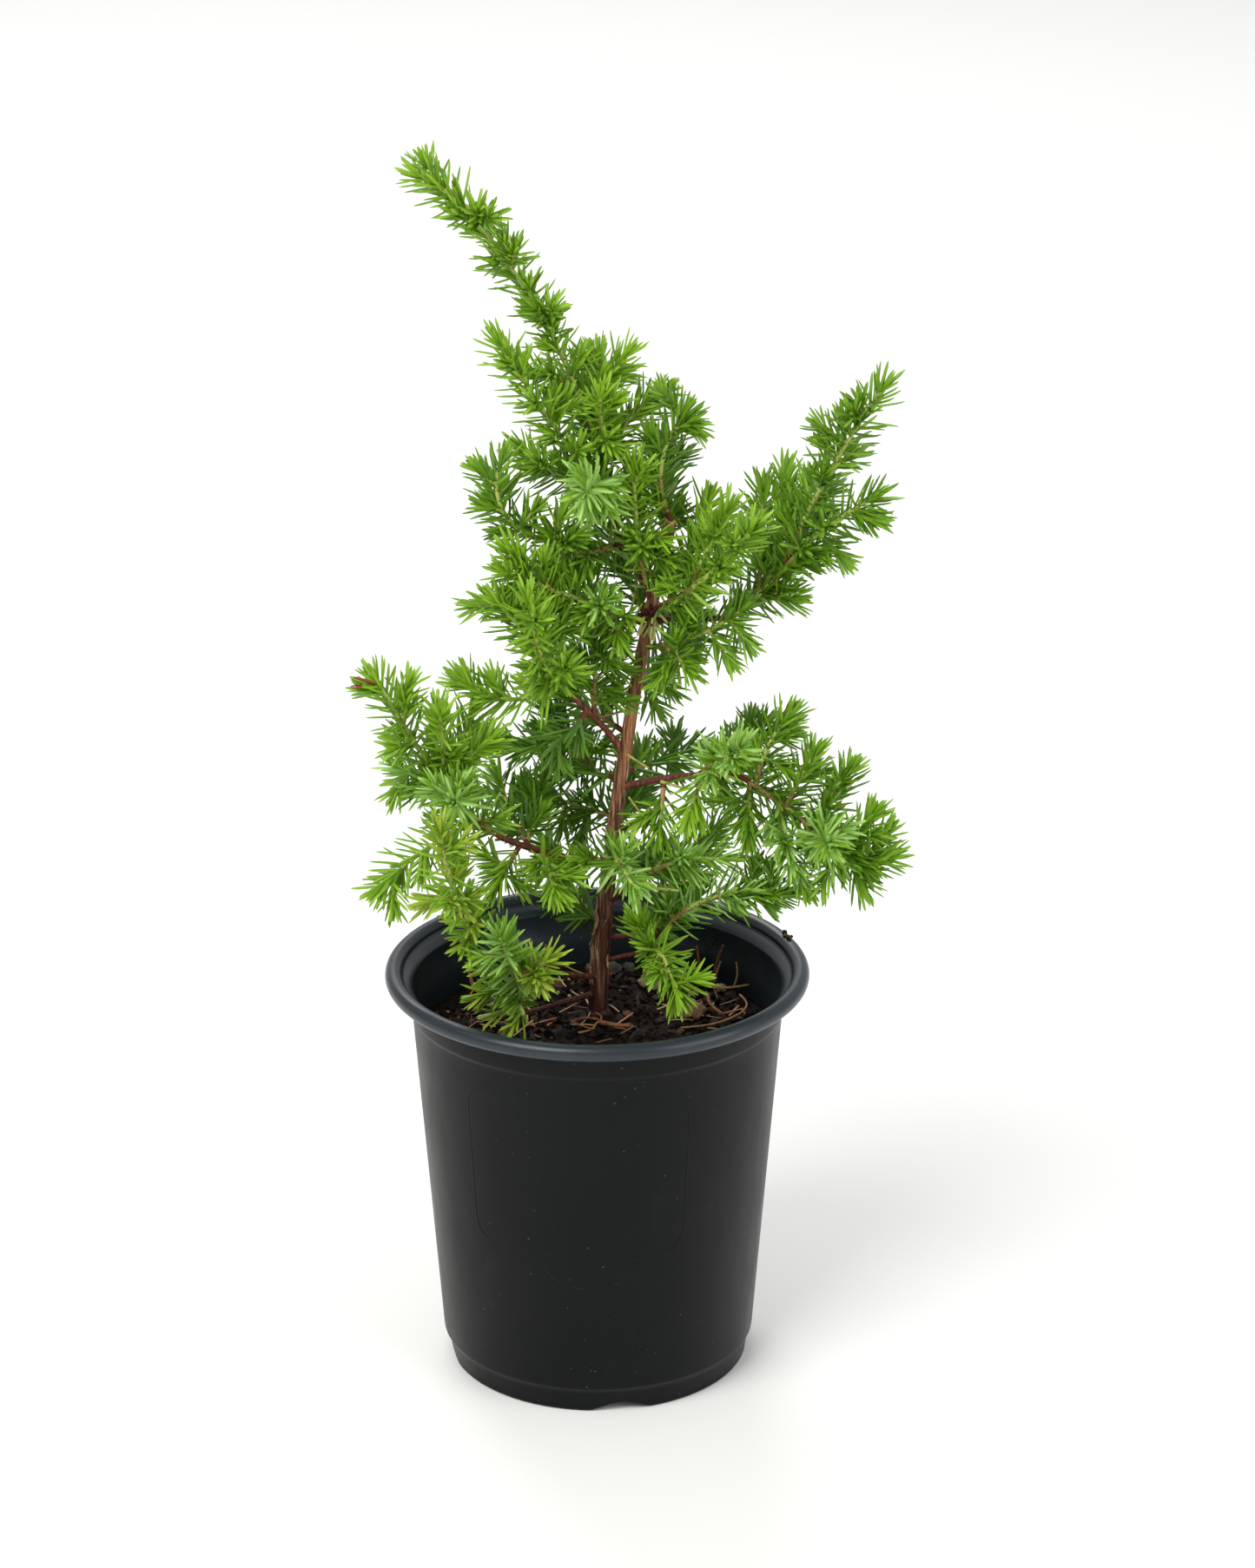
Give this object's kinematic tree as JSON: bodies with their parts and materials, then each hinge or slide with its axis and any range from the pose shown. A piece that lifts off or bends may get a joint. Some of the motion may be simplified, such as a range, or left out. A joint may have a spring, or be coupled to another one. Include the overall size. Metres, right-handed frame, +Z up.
{
  "type": "potted shore juniper",
  "caption": "Young prostrate shore juniper in a round black nursery pot: slim leaning trunk, thin boughs and open sprays of awl-shaped green needles.",
  "frame": {"origin": "middle of the pot's flat underside, on the pot's axis", "axes": "+Z up along the pot, -Y towards the side that the picture shows, +X to the viewer's right, the way the trunk leans"},
  "size_m": [0.2147, 0.165, 0.4834],
  "materials": {
    "pot": "black moulded plastic with a soft sheen",
    "soil": "moist dark brown potting mix",
    "bark": "red-brown ridged bark, peeling in thin strips",
    "needles_bright": "bright yellow-green young needles, satin",
    "needles_middle": "mid-green needles, satin",
    "needles_dark": "dark green shaded needles, satin",
    "needles_yellow": "yellow-green needles, satin"
  },
  "bodies": {
    "root": {"pot": "pot", "soil": "soil", "trunk": "bark", "bough_leader": "bark", "bough_right_upper": "bark", "bough_left_middle": "bark", "bough_left_low": "bark", "bough_right_middle": "bark", "bough_right_low": "bark", "bough_right_base": "bark", "bough_left_base": "bark", "bough_front_base": "bark", "bough_right_floor": "bark", "needles_leader": "needles_bright", "needles_left_upper": "needles_middle", "needles_stub_right": "needles_middle", "needles_stub_back": "needles_dark", "needles_front_upright": "needles_bright", "needles_front_right": "needles_bright", "needles_front_left": "needles_bright", "needles_back_upper": "needles_dark", "needles_right_inner": "needles_middle", "needles_right_upper": "needles_middle", "needles_left_middle_rise": "needles_bright", "needles_left_middle_low": "needles_dark", "needles_left_inner": "needles_dark", "needles_back_inner": "needles_dark", "needles_back_right_middle": "needles_dark", "needles_back_right": "needles_dark", "needles_back_left": "needles_dark", "needles_back_middle": "needles_dark", "needles_back_right_low": "needles_dark", "needles_back_low": "needles_dark", "needles_left_low": "needles_bright", "needles_left_low_front": "needles_bright", "needles_left_low_back": "needles_dark", "needles_left_low_under": "needles_bright", "needles_left_base": "needles_yellow", "needles_front_base": "needles_yellow", "needles_right_middle": "needles_middle", "needles_right_front": "needles_bright", "needles_right_under": "needles_bright", "needles_right_behind": "needles_dark", "needles_right_low": "needles_middle", "needles_right_base": "needles_dark", "needles_right_base_back": "needles_dark", "needles_right_floor": "needles_bright", "needles_middle_front": "needles_bright"}
  },
  "joints": []
}
